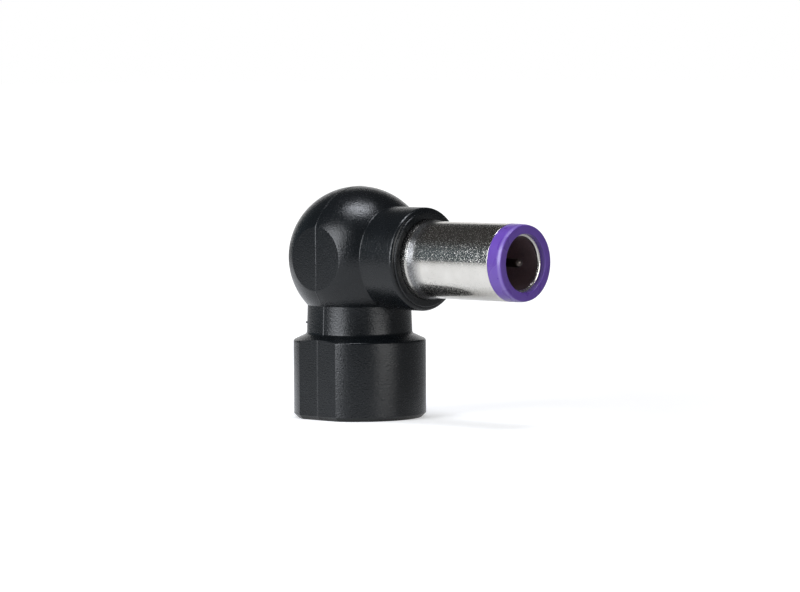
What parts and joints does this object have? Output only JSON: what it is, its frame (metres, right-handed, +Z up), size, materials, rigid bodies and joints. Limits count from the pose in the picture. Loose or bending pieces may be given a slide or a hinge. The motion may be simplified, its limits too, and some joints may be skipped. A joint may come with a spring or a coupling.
{
  "type": "dc power tip",
  "caption": "Right-angle dc power tip: a moulded ball on a flatted collar with a keyed socket, and a plated coaxial barrel with an insulating ring and a centre pin.",
  "frame": {"origin": "centre of the collar's lower face, at the mouth of its socket", "axes": "+Z up the collar's axis, from the socket's mouth to the ball; +X along the barrel, towards its mouth"},
  "size_m": [0.0303, 0.0132, 0.024],
  "materials": {
    "black_moulding": "matte",
    "core_moulding": "matte",
    "nickel_plate": "gloss",
    "purple_insulator": "satin",
    "dark_insulator": "matte",
    "gold_plate": "gloss",
    "board": "satin",
    "chip": "matte",
    "lead_insulation": "satin"
  },
  "bodies": {
    "root": {"overmould_body": "black_moulding", "inner_mould": "core_moulding", "barrel_sleeve": "nickel_plate", "tip_insulator": "purple_insulator", "inner_contact": "nickel_plate", "rear_insulator": "dark_insulator", "centre_pin": "nickel_plate", "socket_shell": "nickel_plate", "base_insulator": "dark_insulator", "power_pin": "gold_plate", "return_pin": "gold_plate", "sense_pin": "gold_plate", "coding_board": "board", "chip_resistor": "chip", "power_lead": "lead_insulation", "return_lead": "lead_insulation", "sense_lead": "lead_insulation"}
  },
  "joints": []
}
